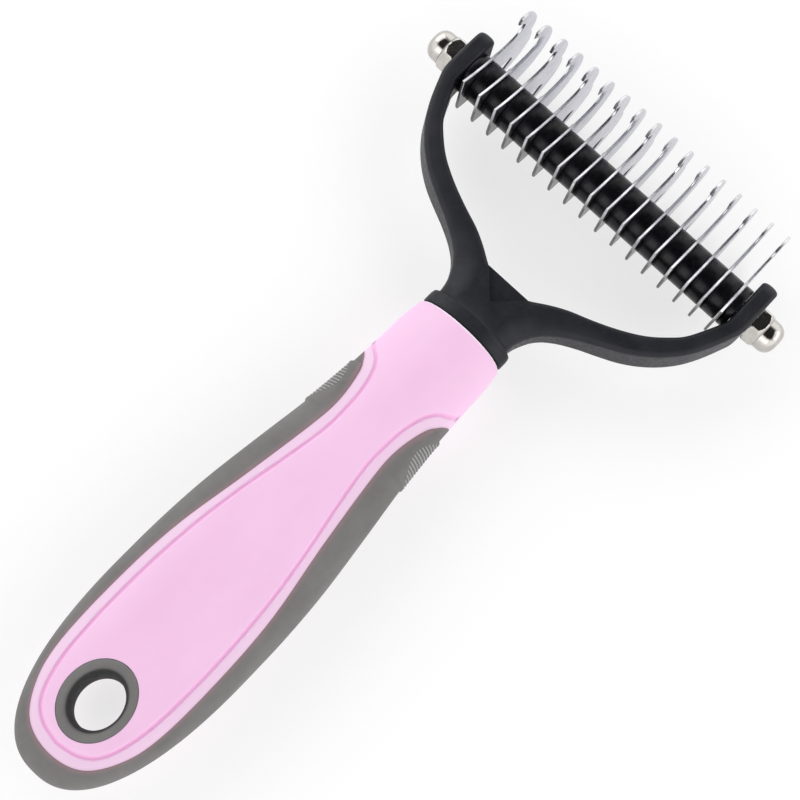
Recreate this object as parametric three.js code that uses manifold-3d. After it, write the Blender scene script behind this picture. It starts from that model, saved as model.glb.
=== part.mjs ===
// Two-sided undercoat rake: a two-shot handle, a forked head and 17 stamped blades on one axle.
//
// Millimetres. While it is built, +X runs along the axle, +Y along the handle towards the
// blades, +Z up through the broad face of the handle, and the axle lies on Y = 0, Z = 0.
// At the end everything is moved so that the origin is at the bottom centre of the whole rake.

import * as THREE from 'three';
import { mergeVertices } from 'three/addons/utils/BufferGeometryUtils.js';
import Module from 'manifold-3d';

const wasm = await Module();
wasm.setup();

// ---------------------------------------------------------------- driving dimensions

const FIT = 0.3;                    // clearance between pieces cut to each other

// Blade stack
const BLADE_COUNT = 17;             // every other blade also has a hook on the lower side
const BLADE_PITCH = 4.6;
const BLADE_THICKNESS = 0.65;
const STACK_PLAY = 0.1;             // between a blade and the spacer beside it
const SPACER_RADIUS = 5.15;
const BORE_RADIUS = 2.8;            // of the blades, spacers and fork ears
const AXLE_RADIUS = 2.5;            // M5 axle

// Fork
const EAR_INSIDE = 39.2;            // half the distance between the two ears
const EAR_OUTSIDE = 43.3;
const EAR_TIP_Y = 8.2;
const EAR_TIP_ROUND = 3.5;          // radius of the ears' end, seen from the side
const COLLAR = { startY: -43.3, endY: -46.3, halfWidth: 10.9, halfDepth: 6.1 };
const WEB_Y = -32.05;               // edge of the web between the two arms
const FORK_HALF_DEPTH = 5.4;        // half the depth of the fork along Z
const POCKET = { tipY: -38.1, floorZ: 3.9 };
const TANG = { halfWidth: 6, halfDepth: 3, length: 20 };

// Acorn nuts, M5 low form
const NUT = { acrossFlats: 8, hexHeight: 3, height: 7.1, domeRadius: 3.75, boreDepth: 4.6 };

// Handle
const SLEEVE_END_Y = -46.6;         // open end of the sleeve
const BUTT_Y = -170.2;
const BACK_FLAT = 8.6;              // half the thickness across the flats, front and back
const GRIP_WALL = 2.4;              // thickness of the soft shot over the hard core
const GRIP_LIP = 2.6;               // how far its edges turn in over the faces, in depth

// Hanging hole
const HOLE_Y = -152.3;
const HOLE = { halfWidth: 4.8, rimHalfWidth: 5.6, flangeHalfWidth: 7.3, stretch: 1.18 };
const LINER_HALF_DEPTH = 8.2;
const LINER_FLANGE = 1.6;           // thickness of the liner's two flanges

// ---------------------------------------------------------------- materials

const material = (name, color, roughness, metalness) =>
  new THREE.MeshStandardMaterial({ name, color, roughness, metalness });

const PINK = material('pink_abs', 0xf2c6e6, 0.42, 0);
const GREY = material('grey_tpr', 0x807c79, 0.7, 0);
const BLACK = material('charcoal_abs', 0x26282d, 0.45, 0);
const GLOSS = material('black_spacer', 0x0d0d10, 0.25, 0);
const STEEL = material('polished_steel', 0xb4b4bd, 0.22, 1);
const NICKEL = material('nickel_plate', 0xcfccc4, 0.12, 1);

// ---------------------------------------------------------------- helpers

const toSolid = (geometry) => {
  const bare = geometry.index ? geometry.toNonIndexed() : geometry.clone();
  bare.deleteAttribute('normal');
  bare.deleteAttribute('uv');
  const merged = mergeVertices(bare, 1e-4);
  return new wasm.Manifold(new wasm.Mesh({
    numProp: 3,
    vertProperties: merged.attributes.position.array,
    triVerts: new Uint32Array(merged.index.array),
  }));
};

const toGeometry = (solid) => {
  const mesh = solid.getMesh();
  const geometry = new THREE.BufferGeometry();
  geometry.setAttribute('position', new THREE.Float32BufferAttribute(mesh.vertProperties, 3));
  geometry.setIndex(Array.from(mesh.triVerts));
  geometry.computeVertexNormals();
  return geometry;
};

// A shape drawn in (X, Y), made into a prism from z0 to z1.
const prism = (shape, z0, z1, curveSegments = 6) => {
  const geometry = new THREE.ExtrudeGeometry(shape, {
    depth: z1 - z0, bevelEnabled: false, curveSegments,
  });
  return geometry.translate(0, 0, z0);
};

const box = (x0, x1, y0, y1, z0, z1) =>
  new THREE.BoxGeometry(x1 - x0, y1 - y0, z1 - z0)
    .translate((x0 + x1) / 2, (y0 + y1) / 2, (z0 + z1) / 2);

// Turns a shape drawn as (Y, Z) and extruded along its own z so that the extrusion lies on X.
const SIDEWAYS = new THREE.Matrix4().makeBasis(
  new THREE.Vector3(0, 1, 0),
  new THREE.Vector3(0, 0, 1),
  new THREE.Vector3(1, 0, 0),
);

// Smooth interpolation through [y, value] pairs.
const profile = (pairs) => {
  const curve = new THREE.SplineCurve(pairs.map(([y, v]) => new THREE.Vector2(y, v)));
  const samples = curve.getPoints(pairs.length * 8);
  return (y) => {
    const next = samples.findIndex((p) => p.x >= y);
    if (next <= 0) return samples[next < 0 ? samples.length - 1 : 0].y;
    const a = samples[next - 1];
    const b = samples[next];
    return a.y + (b.y - a.y) * (y - a.x) / (b.x - a.x);
  };
};

const mirrored = (points) => points.map(([x, y]) => [-x, y]).reverse();

// ---------------------------------------------------------------- handle form

const bodyHalfWidth = profile([
  [-128, 17.55], [-120, 17.5], [-108, 16.9], [-93, 15.2], [-79, 13.4], [-66, 12.3], [-59, 12.0],
  [-50, 11.6], [SLEEVE_END_Y, 11.1],
]);
const bodyHalfDepth = profile([
  [-145, 8.5], [-122, 9.2], [-100, 9.0], [-80, 8.0], [-60, 7.0], [SLEEVE_END_Y, 6.6],
]);

// Superellipse exponent of the section: an ellipse at the sleeve's end, squarer at the palm.
const squareness = profile([
  [-125, 2.8], [-100, 2.6], [-80, 2.35], [-60, 2.1], [SLEEVE_END_Y, 2.0],
]);

// Falls from 1 at `start` to 0 at the butt, on a superellipse.
const closing = (y, start, exponent) => {
  const past = Math.min(Math.max((start - y) / (start - BUTT_Y), 0), 1);
  return (1 - past ** exponent) ** (1 / exponent);
};
const handleHalfWidth = (y) => bodyHalfWidth(y) * closing(y, -128, 2.4);
const handleHalfDepth = (y) => bodyHalfDepth(y) * closing(y, -145, 2.3);

// The handle's outer form, shrunk evenly by `inset`, as rings of a superellipse along Y.
const handleForm = (inset) => {
  const around = 36;
  const buttRings = 7;
  const bodyRings = 20;
  const buttStartY = -145;
  const ringYs = [];
  for (let i = 0; i < buttRings; i += 1) {
    ringYs.push(buttStartY - (buttStartY - BUTT_Y) * Math.cos((Math.PI / 2) * (i / buttRings)));
  }
  for (let i = 0; i <= bodyRings; i += 1) {
    ringYs.push(buttStartY + (SLEEVE_END_Y - buttStartY) * (i / bodyRings));
  }
  const geometry = new THREE.CylinderGeometry(1, 1, 1, around, ringYs.length - 1);
  const position = geometry.attributes.position;
  for (let i = 0; i < position.count; i += 1) {
    const ring = Math.round((position.getY(i) + 0.5) * (ringYs.length - 1));
    const y = ringYs[ring];
    const halfWidth = Math.max(handleHalfWidth(y) - inset, 0.6);
    const halfDepth = Math.max(handleHalfDepth(y) - inset, 0.4);
    const angle = Math.atan2(position.getZ(i), position.getX(i));
    const reach = Math.hypot(position.getX(i), position.getZ(i)) < 0.5 ? 0 : 1;
    const c = Math.cos(angle);
    const s = Math.sin(angle);
    const power = 2 / squareness(y);
    position.setXYZ(
      i,
      reach * halfWidth * Math.sign(c) * Math.abs(c) ** power,
      Math.max(y, BUTT_Y + inset),
      reach * halfDepth * Math.sign(s) * Math.abs(s) ** power,
    );
  }
  return geometry;
};

// Outline, seen from above, of the hard panel that shows between the two arms of the soft grip.
const panelShape = (grow) => {
  const side = [
    [9.0, -69.3], [7.8, -76.5], [8.3, -84.5], [10.6, -101], [13.3, -118], [14.1, -134],
    [13.6, -149], [11.4, -157.5], [7.0, -163.4], [0, -165.4],
  ].map(([x, y]) => [x + (x > 0 ? grow : 0), y > -160 ? y : y - grow]);
  const shape = new THREE.Shape();
  shape.moveTo(30, -40);
  shape.lineTo(30, -63 - grow);
  shape.lineTo(12.6, -63 - grow);
  shape.splineThru([...side, ...mirrored(side.slice(0, -1)), [-12.6, -63 - grow]]
    .map(([x, y]) => new THREE.Vector2(x, y)));
  shape.lineTo(-30, -63 - grow);
  shape.lineTo(-30, -40);
  shape.closePath();
  return prism(shape, -20, 20, 2);
};

const ellipsePrism = (halfWidth, z0, z1) => {
  const shape = new THREE.Shape();
  shape.absellipse(0, HOLE_Y, halfWidth, halfWidth * HOLE.stretch, 0, Math.PI * 2, false, 0);
  return prism(shape, z0, z1, 14);
};

// ---------------------------------------------------------------- handle core (hard shot)

const handleOuter = toSolid(handleForm(0));
const flats = toSolid(box(-30, 30, BUTT_Y - 5, 0, -BACK_FLAT, BACK_FLAT));
const spine = toSolid(handleForm(GRIP_WALL)).intersect(
  toSolid(box(-30, 30, BUTT_Y, -60, -BACK_FLAT + GRIP_LIP, BACK_FLAT - GRIP_LIP)),
);

const tangBox = (clearance) => toSolid(box(
  -TANG.halfWidth - clearance, TANG.halfWidth + clearance,
  COLLAR.endY - TANG.length - clearance, COLLAR.endY + 1,
  -TANG.halfDepth - clearance, TANG.halfDepth + clearance,
));

const linerSeat = toSolid(ellipsePrism(HOLE.rimHalfWidth + 0.6 + FIT, -20, 20))
  .add(toSolid(ellipsePrism(HOLE.flangeHalfWidth + FIT, LINER_HALF_DEPTH - LINER_FLANGE - FIT, 20)))
  .add(toSolid(ellipsePrism(HOLE.flangeHalfWidth + FIT, -20, -LINER_HALF_DEPTH + LINER_FLANGE + FIT)));

const coreSolid = handleOuter.intersect(toSolid(panelShape(0))).intersect(flats)
  .add(spine)
  .subtract(tangBox(FIT))
  .subtract(linerSeat);

// ---------------------------------------------------------------- soft grip (second shot)

// Slightly proud thumb rests on both sides, next to the sleeve.
const thumbRests = toSolid(handleForm(-0.5)).intersect(
  toSolid(box(-30, 30, -80.4, -66.6, -6, 6)),
);

const gripSolid = handleOuter.add(thumbRests).intersect(flats)
  .subtract(toSolid(panelShape(FIT)))
  .subtract(toSolid(handleForm(GRIP_WALL - FIT)).intersect(toSolid(box(
    -30, 30, BUTT_Y, 0, -BACK_FLAT + GRIP_LIP - FIT, BACK_FLAT - GRIP_LIP + FIT,
  ))));

// ---------------------------------------------------------------- liner of the hanging hole

const linerGeometry = () => {
  const z = LINER_HALF_DEPTH;
  const bore = HOLE.halfWidth;
  const wall = HOLE.rimHalfWidth + 0.6;
  const flange = HOLE.flangeHalfWidth;
  const round = 1.3;                // the rim rolls over into the bore
  const upper = [
    [wall, z - LINER_FLANGE], [flange, z - LINER_FLANGE], [flange - 0.2, z - 0.35], [flange - 1.2, z],
    [HOLE.rimHalfWidth, z - 0.3], [bore + 0.25, z - round], [bore, z - 2.6],
  ];
  const section = [...upper, ...upper.map(([r, h]) => [r, -h]).reverse(), upper[0]];
  return new THREE.LatheGeometry(section.map(([r, h]) => new THREE.Vector2(r, h)), 24)
    .rotateX(Math.PI / 2)
    .scale(1, HOLE.stretch, 1)
    .translate(0, HOLE_Y, 0);
};

// ---------------------------------------------------------------- fork

const forkShape = () => {
  const outer = [
    [9.7, -42.2], [10.7, -38.6], [12.2, -36.0], [16.2, -32.5], [20.0, -30.3], [24.1, -28.3],
    [28.1, -26.2], [31.7, -23.7], [35.0, -20.7], [37.9, -17.1], [40.2, -13.0], [42.2, -8.2],
    [EAR_OUTSIDE, -4.2],
  ];
  const inner = [
    [EAR_INSIDE, -5.4], [38.5, -7.3], [36.7, -11.2], [34.7, -14.8], [32.0, -17.7], [29.0, -20.3],
    [25.7, -22.4], [21.8, -24.4], [17.6, -26.2], [13.2, -27.9], [9.6, -29.8], [6.1, WEB_Y],
  ];
  const corner = 1.1;
  const shape = new THREE.Shape();
  const spline = (points) => shape.splineThru(points.map(([x, y]) => new THREE.Vector2(x, y)));
  const earTip = (side) => {
    const [from, to] = side > 0 ? [EAR_OUTSIDE, EAR_INSIDE] : [-EAR_INSIDE, -EAR_OUTSIDE];
    shape.lineTo(from, EAR_TIP_Y - corner);
    shape.quadraticCurveTo(from, EAR_TIP_Y, from - corner, EAR_TIP_Y);
    shape.lineTo(to + corner, EAR_TIP_Y);
    shape.quadraticCurveTo(to, EAR_TIP_Y, to, EAR_TIP_Y - corner);
  };
  shape.moveTo(-9.8, COLLAR.startY - 0.5);
  shape.lineTo(9.8, COLLAR.startY - 0.5);
  spline(outer);
  earTip(1);
  shape.lineTo(...inner[0]);
  spline(inner.slice(1));
  shape.lineTo(-inner[inner.length - 1][0], WEB_Y);
  spline(mirrored(inner).slice(1));
  earTip(-1);
  shape.lineTo(...mirrored(outer)[0]);
  spline(mirrored(outer).slice(1));
  shape.closePath();
  return prism(shape, -10, 10, 1);
};

// Side view of the fork: one depth all along, and ears that are rounded at their ends.
const forkSideShape = () => {
  const d = FORK_HALF_DEPTH;
  const shape = new THREE.Shape();
  shape.moveTo(COLLAR.startY - 2, -d);
  shape.lineTo(EAR_TIP_Y - EAR_TIP_ROUND, -d);
  shape.absarc(EAR_TIP_Y - EAR_TIP_ROUND, -d + EAR_TIP_ROUND, EAR_TIP_ROUND, -Math.PI / 2, 0, false);
  shape.absarc(EAR_TIP_Y - EAR_TIP_ROUND, d - EAR_TIP_ROUND, EAR_TIP_ROUND, 0, Math.PI / 2, false);
  shape.lineTo(COLLAR.startY - 2, d);
  shape.closePath();
  return prism(shape, -60, 60, 4).applyMatrix4(SIDEWAYS);
};

// The elliptical collar that the handle's sleeve butts against.
const collar = () => new THREE.CylinderGeometry(1, 1, COLLAR.startY - COLLAR.endY, 40)
  .scale(COLLAR.halfWidth, 1, COLLAR.halfDepth)
  .translate(0, (COLLAR.startY + COLLAR.endY) / 2, 0);

// Triangular pocket between the arms, open towards the blades, one on each face.
const webPocket = (side) => {
  const half = WEB_Y - POCKET.tipY + 3;
  const shape = new THREE.Shape();
  shape.moveTo(0, POCKET.tipY);
  shape.lineTo(half, POCKET.tipY + half);
  shape.lineTo(-half, POCKET.tipY + half);
  shape.closePath();
  return side > 0 ? prism(shape, POCKET.floorZ, 20) : prism(shape, -20, -POCKET.floorZ);
};

const alongX = (radius, x0, x1, segments) =>
  new THREE.CylinderGeometry(radius, radius, x1 - x0, segments)
    .rotateZ(Math.PI / 2)
    .translate((x0 + x1) / 2, 0, 0);

const forkSolid = toSolid(forkShape())
  .intersect(toSolid(forkSideShape()))
  .add(toSolid(collar()))
  .subtract(toSolid(webPocket(1)))
  .subtract(toSolid(webPocket(-1)))
  .add(tangBox(0))
  .subtract(toSolid(alongX(BORE_RADIUS, -60, 60, 16)));

// ---------------------------------------------------------------- blades and spacers

// A blade seen from the side, Y forwards and Z up. Both faces have a hollow edge between a
// sharp heel at the back and a hooked, round-nosed tooth at the front.
const bladeShape = (doubleSided) => {
  const shape = new THREE.Shape();
  shape.moveTo(-7.1, 9.4);
  shape.lineTo(-7.2, -2.8);
  shape.lineTo(-6.8, -4.6);
  shape.quadraticCurveTo(-3.4, -6.4, 2.6, -5.9);
  if (doubleSided) {
    shape.lineTo(9.8, -5.2);
    shape.quadraticCurveTo(13.2, -5.2, 12.5, -7.4);
    shape.lineTo(9.2, -10.4);
    shape.lineTo(10.0, -11.7);
    shape.quadraticCurveTo(13.6, -10.7, 15.9, -8.4);
    shape.quadraticCurveTo(19.4, -4.3, 17.0, 0.6);
  } else {
    shape.lineTo(8.0, -5.3);
    shape.quadraticCurveTo(14.4, -5.0, 17.0, 0.6);
  }
  shape.quadraticCurveTo(18.8, 4.6, 16.4, 9.0);
  shape.quadraticCurveTo(14.5, 13.4, 10.9, 13.4);
  shape.lineTo(10.4, 11.4);
  shape.lineTo(13.1, 8.6);
  shape.quadraticCurveTo(12.7, 5.3, 9.0, 5.2);
  shape.quadraticCurveTo(1.4, 5.2, -7.1, 9.4);
  const bore = new THREE.Path();
  bore.absarc(0, 0, BORE_RADIUS, 0, Math.PI * 2, true);
  shape.holes.push(bore);
  return shape;
};

const bladeGeometry = (doubleSided, x) =>
  prism(bladeShape(doubleSided), x - BLADE_THICKNESS / 2, x + BLADE_THICKNESS / 2, 5)
    .applyMatrix4(SIDEWAYS);

const spacerGeometry = (x0, x1) => {
  const section = [
    [BORE_RADIUS, x0], [SPACER_RADIUS, x0], [SPACER_RADIUS, x1], [BORE_RADIUS, x1], [BORE_RADIUS, x0],
  ];
  return new THREE.LatheGeometry(section.map(([r, h]) => new THREE.Vector2(r, h)), 20)
    .rotateZ(-Math.PI / 2);
};

// ---------------------------------------------------------------- acorn nut

// Stands on x = 0 with its dome towards +X.
const nutSolid = () => {
  const corner = NUT.acrossFlats / Math.sqrt(3);
  const hexagon = toSolid(new THREE.CylinderGeometry(corner, corner, NUT.hexHeight, 6)
    .rotateZ(Math.PI / 2)
    .translate(NUT.hexHeight / 2, 0, 0));
  const chamferCone = [
    [0, 0], [corner - 0.35, 0], [corner + 0.1, 0.4], [corner + 0.1, NUT.hexHeight - 0.9],
    [corner - 0.9, NUT.hexHeight], [0, NUT.hexHeight],
  ];
  const domeStart = NUT.height - NUT.domeRadius * 0.9;
  const dome = [[0, 1], [NUT.domeRadius, 1], [NUT.domeRadius, domeStart]];
  for (let i = 1; i <= 5; i += 1) {
    const a = (Math.PI / 2) * (i / 5);
    const r = i === 5 ? 0 : NUT.domeRadius * Math.cos(a);
    dome.push([r, domeStart + (NUT.height - domeStart) * Math.sin(a)]);
  }
  const turned = (section, segments) => toSolid(
    new THREE.LatheGeometry(section.map(([r, h]) => new THREE.Vector2(r, h)), segments)
      .rotateZ(-Math.PI / 2),
  );
  return hexagon.intersect(turned(chamferCone, 24))
    .add(turned(dome, 20))
    .subtract(toSolid(alongX(BORE_RADIUS, -1, NUT.boreDepth, 12)));
};

// ---------------------------------------------------------------- assembly

const rake = new THREE.Group();
rake.name = 'undercoat_rake';

const addPiece = (name, geometry, pieceMaterial) => {
  const mesh = new THREE.Mesh(geometry, pieceMaterial.clone());
  mesh.name = name;
  rake.add(mesh);
};

addPiece('handle_core', toGeometry(coreSolid), PINK);
addPiece('grip_overmould', toGeometry(gripSolid), GREY);
addPiece('hang_hole_liner', linerGeometry(), GREY);
addPiece('yoke', toGeometry(forkSolid), BLACK);

const nutSeat = EAR_OUTSIDE + 0.1;
const axleEnd = nutSeat + NUT.boreDepth - 0.4;
addPiece('axle_rod', alongX(AXLE_RADIUS, -axleEnd, axleEnd, 16), STEEL);
addPiece('acorn_nut_right', toGeometry(nutSolid()).translate(nutSeat, 0, 0), NICKEL);
addPiece('acorn_nut_left', toGeometry(nutSolid()).rotateZ(Math.PI).translate(-nutSeat, 0, 0), NICKEL);

const bladeX = (index) => (index - (BLADE_COUNT - 1) / 2) * BLADE_PITCH;
const halfBlade = BLADE_THICKNESS / 2 + STACK_PLAY / 2;
const twoDigits = (n) => String(n).padStart(2, '0');

for (let i = 0; i < BLADE_COUNT; i += 1) {
  addPiece(`blade_${twoDigits(i + 1)}`, bladeGeometry(i % 2 === 0, bladeX(i)), STEEL);
}
for (let i = 0; i < BLADE_COUNT - 1; i += 1) {
  addPiece(
    `spacer_${twoDigits(i + 1)}`,
    spacerGeometry(bladeX(i) + halfBlade, bladeX(i + 1) - halfBlade),
    GLOSS,
  );
}
const lastBlade = bladeX(BLADE_COUNT - 1) + halfBlade;
const earFace = EAR_INSIDE - STACK_PLAY / 2;
addPiece('end_spacer_left', spacerGeometry(-earFace, -lastBlade), GLOSS);
addPiece('end_spacer_right', spacerGeometry(lastBlade, earFace), GLOSS);

// Origin to the bottom centre of the whole rake.
const bounds = new THREE.Box3().setFromObject(rake, true);
const centre = bounds.getCenter(new THREE.Vector3());
for (const mesh of rake.children) {
  mesh.geometry.translate(-centre.x, -centre.y, -bounds.min.z);
}

export default rake;
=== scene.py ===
"""Looks of a two-sided undercoat rake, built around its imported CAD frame.

Shapes are worked out in millimetres from the middle of the axle: X along the axle, Y towards the
blades, Z up through the broad face of the handle. The axle's own box says where that point is.
"""

import math

import bmesh
import bpy
import numpy as np
from mathutils import Matrix, Vector
from mathutils.geometry import tessellate_polygon


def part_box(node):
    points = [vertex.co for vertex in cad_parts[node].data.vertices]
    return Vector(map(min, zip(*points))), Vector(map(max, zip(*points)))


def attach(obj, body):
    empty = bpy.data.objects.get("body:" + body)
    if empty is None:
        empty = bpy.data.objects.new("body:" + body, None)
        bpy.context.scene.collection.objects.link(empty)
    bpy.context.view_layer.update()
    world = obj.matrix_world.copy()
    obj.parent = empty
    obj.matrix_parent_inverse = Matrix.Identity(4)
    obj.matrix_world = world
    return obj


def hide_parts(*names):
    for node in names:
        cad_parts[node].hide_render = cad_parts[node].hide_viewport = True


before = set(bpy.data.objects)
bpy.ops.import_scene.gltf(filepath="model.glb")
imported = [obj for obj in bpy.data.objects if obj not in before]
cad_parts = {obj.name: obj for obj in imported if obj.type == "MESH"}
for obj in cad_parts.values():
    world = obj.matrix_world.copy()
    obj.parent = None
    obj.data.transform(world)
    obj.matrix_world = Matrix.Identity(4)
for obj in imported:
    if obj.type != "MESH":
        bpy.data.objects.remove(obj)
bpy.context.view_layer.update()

MM = 0.001
AXLE_LOW, AXLE_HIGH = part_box("axle_rod")
AXLE = (AXLE_LOW + AXLE_HIGH) / 2

# ------------------------------------------------------------------ dimensions, mm

SEAM = 0.03                         # gap left between two pieces that touch in reality

BLADE_COUNT = 17
BLADE_PITCH = 4.6
BLADE_THICKNESS = 0.65
STACK_PLAY = 0.05
SPACER_RADIUS = 5.15
BORE_RADIUS = 2.8
ROD_RADIUS = 2.5

EAR_INSIDE = 39.2
EAR_OUTSIDE = 43.3
NUT_SEAT = EAR_OUTSIDE + 0.1
NUT_ACROSS_FLATS = 8.0
NUT_HEX_HEIGHT = 3.0
NUT_HEIGHT = 7.1
NUT_BORE_DEPTH = 4.6
ROD_IN_NUT = 4.2
DOME_START = 4.3                    # the nut is a plain cylinder up to here
DOME_RADIUS = 3.75

SLEEVE_END_Y = -46.6
SOCKET_END_Y = -66.9                # end of the sleeve's socket for the fork's tang
SOCKET_SCALE = 0.72                 # the socket's section next to the sleeve's
PANEL_TOP_Y = -63.6                 # above this the hard shell goes all the way round
BUTT_Y = -170.2
GRIP_WALL = 2.4

HOLE_Y = -152.3
HOLE_STRETCH = 1.18
LINER_RADIUS = 7.3
LINER_WALL = 6.0
HOLE_RADIUS = 4.8
LINER_SEAT_Z = 5.2

# ------------------------------------------------------------------ small helpers


def smooth_step(low, high, value):
    t = np.clip((np.asarray(value, float) - low) / (high - low), 0, 1)
    return t * t * (3 - 2 * t)


def spline(keys, corners=()):
    """A smooth curve through rows of numbers, as a function of position along the rows.
    Its direction may jump at the rows listed in corners."""
    keys = np.array(keys, float)
    last = len(keys) - 1

    def tangent(i, side):
        if i in corners or i in (0, last):
            j = i + side if 0 <= i + side <= last else i - side
            return (keys[j] - keys[i]) * (1 if j > i else -1)
        return (keys[i + 1] - keys[i - 1]) / 2

    def value(at):
        i = int(min(max(math.floor(at), 0), last - 1))
        t = at - i
        p, q = keys[i], keys[i + 1]
        m, n = tangent(i, 1), tangent(i + 1, -1)
        return (
            (2 * t**3 - 3 * t**2 + 1) * p
            + (t**3 - 2 * t**2 + t) * m
            + (3 * t**2 - 2 * t**3) * q
            + (t**3 - t**2) * n
        )

    return value


def profile(pairs):
    """A smooth function y(x) through (x, y) pairs given in rising x, for whole arrays."""
    x, v = np.array(pairs, float).T
    slope = np.gradient(v, x)

    def value(at):
        at = np.clip(np.asarray(at, float), x[0], x[-1])
        i = np.clip(np.searchsorted(x, at) - 1, 0, len(x) - 2)
        h = x[i + 1] - x[i]
        t = (at - x[i]) / h
        return (
            (2 * t**3 - 3 * t**2 + 1) * v[i]
            + (t**3 - 2 * t**2 + t) * h * slope[i]
            + (3 * t**2 - 2 * t**3) * v[i + 1]
            + (t**3 - t**2) * h * slope[i + 1]
        )

    return value


def distance_to_line(points, line):
    """Distance from each (x, y) point to a line of points."""
    nearest = np.full(len(points), 1e9)
    for a, b in zip(line[:-1], line[1:]):
        along = b - a
        length = max(along @ along, 1e-12)
        t = np.clip(((points - a) @ along) / length, 0, 1)
        nearest = np.minimum(nearest, np.linalg.norm(points - a - t[:, None] * along, axis=1))
    return nearest


def grid_faces(rows, columns, wrap=False):
    """Quads over a grid of points stored row by row. wrap joins the last column to the first."""
    faces = []
    for i in range(rows - 1):
        for j in range(columns if wrap else columns - 1):
            k = (j + 1) % columns
            a, b = i * columns + j, i * columns + k
            faces.append((a, b, b + columns, a + columns))
    return faces


def mirrored(points, faces, signs):
    """Adds to a patch its mirror images, one for each (sx, sz) in signs."""
    points = np.asarray(points, float)
    all_points, all_faces = [], []
    for sx, sz in signs:
        start = len(points) * len(all_points)
        all_points.append(points * (sx, 1, sz))
        step = 1 if sx * sz > 0 else -1
        all_faces += [tuple(start + v for v in face[::step]) for face in faces]
    return np.concatenate(all_points), all_faces


QUARTERS = ((1, 1), (-1, 1), (1, -1), (-1, -1))


def welded_mesh(name, points, faces, weld, marks=None):
    """A closed mesh in the frame, from points in millimetres about the axle. marks holds named
    numbers for each point, which the materials read as attributes."""
    mesh = bpy.data.meshes.new(name)
    world = np.asarray(points, float) * MM + np.array(AXLE)
    mesh.from_pydata(world.tolist(), [], faces)
    for mark, values in (marks or {}).items():
        mesh.attributes.new(mark, "FLOAT", "POINT").data.foreach_set("value", values)
    work = bmesh.new()
    work.from_mesh(mesh)
    bmesh.ops.remove_doubles(work, verts=work.verts, dist=weld * MM)
    bmesh.ops.dissolve_degenerate(work, edges=work.edges, dist=weld * MM / 4)
    loose = [edge for edge in work.edges if edge.is_wire]
    bmesh.ops.delete(work, geom=loose, context="EDGES")
    bmesh.ops.recalc_face_normals(work, faces=work.faces)
    work.to_mesh(mesh)
    work.free()
    return mesh


def piece(name, points, faces, material, stands_for, weld=0.002, sharp_angle=30, marks=None):
    """Makes one welded, closed, smooth-shaded piece that stands for a CAD node."""
    mesh = welded_mesh(name, points, faces, weld, marks)
    obj = bpy.data.objects.new(name, mesh)
    bpy.context.scene.collection.objects.link(obj)
    mesh.materials.append(material)
    shade(obj, sharp_angle)
    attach(obj, "root")
    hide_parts(stands_for)
    return obj


def shade(obj, sharp_angle):
    obj.data.polygons.foreach_set("use_smooth", [True] * len(obj.data.polygons))
    obj.data.set_sharp_from_angle(angle=math.radians(sharp_angle))


def cut(obj, points, faces, sharp_angle=30):
    """Cuts a closed shape, in millimetres about the axle, out of obj."""
    cutter = bpy.data.objects.new("cutter", welded_mesh("cutter", points, faces, 0.02))
    bpy.context.scene.collection.objects.link(cutter)
    modifier = obj.modifiers.new("cut", "BOOLEAN")
    modifier.operation = "DIFFERENCE"
    modifier.solver = "EXACT"
    modifier.object = cutter
    evaluated = obj.evaluated_get(bpy.context.evaluated_depsgraph_get())
    result = bpy.data.meshes.new_from_object(evaluated)
    obj.modifiers.clear()
    result.name = obj.data.name
    obj.data = result
    bpy.data.objects.remove(cutter)
    shade(obj, sharp_angle)


def lathe(section, segments, stretch=1.0):
    """A closed ring around Z from a closed section of (radius, height) pairs."""
    points, section = [], list(section)
    for k in range(segments):
        angle = 2 * math.pi * k / segments
        for r, h in section:
            points.append((r * math.cos(angle), r * math.sin(angle) * stretch, h))
    count = len(section)
    faces = grid_faces(segments, count, wrap=True)
    last = (segments - 1) * count
    for j in range(count):
        k = (j + 1) % count
        faces.append((last + j, last + k, k, j))
    return np.array(points), faces


def along_axle(points):
    """Turns a lathe made around Z so that it lies on the axle."""
    return np.asarray(points)[:, (2, 0, 1)]


# ------------------------------------------------------------------ materials


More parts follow.
